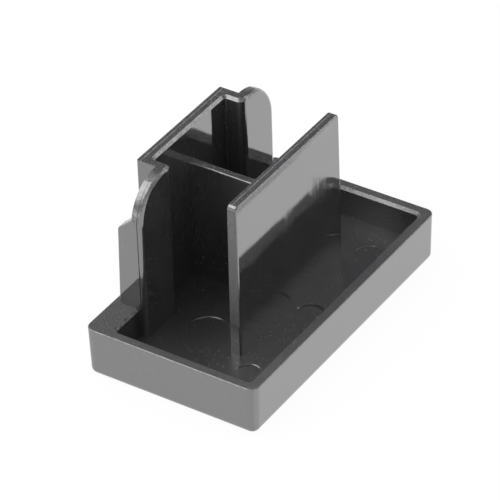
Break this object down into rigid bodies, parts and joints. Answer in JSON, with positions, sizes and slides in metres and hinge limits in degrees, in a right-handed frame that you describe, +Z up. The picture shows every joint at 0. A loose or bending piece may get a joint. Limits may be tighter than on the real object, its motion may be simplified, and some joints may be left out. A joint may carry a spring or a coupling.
{
  "type": "profile end cap",
  "caption": "Moulded plastic end cap: a shallow rectangular tray with a flat tongue, a hat-section tongue and a joining web that plug into a slotted profile.",
  "frame": {"origin": "centre of the closed outer face, which is also the centre of the bottom of the bounding box", "axes": "+Z up the tongues into the profile, +Y along the long side of the tray, +X towards the side of the tray with the open channel"},
  "size_m": [0.03, 0.052, 0.0302],
  "materials": {
    "cap_plastic": "semi-gloss moulded black, fine tool texture on the rim and edges"
  },
  "bodies": {
    "root": {"end_cap": "cap_plastic"}
  },
  "joints": []
}
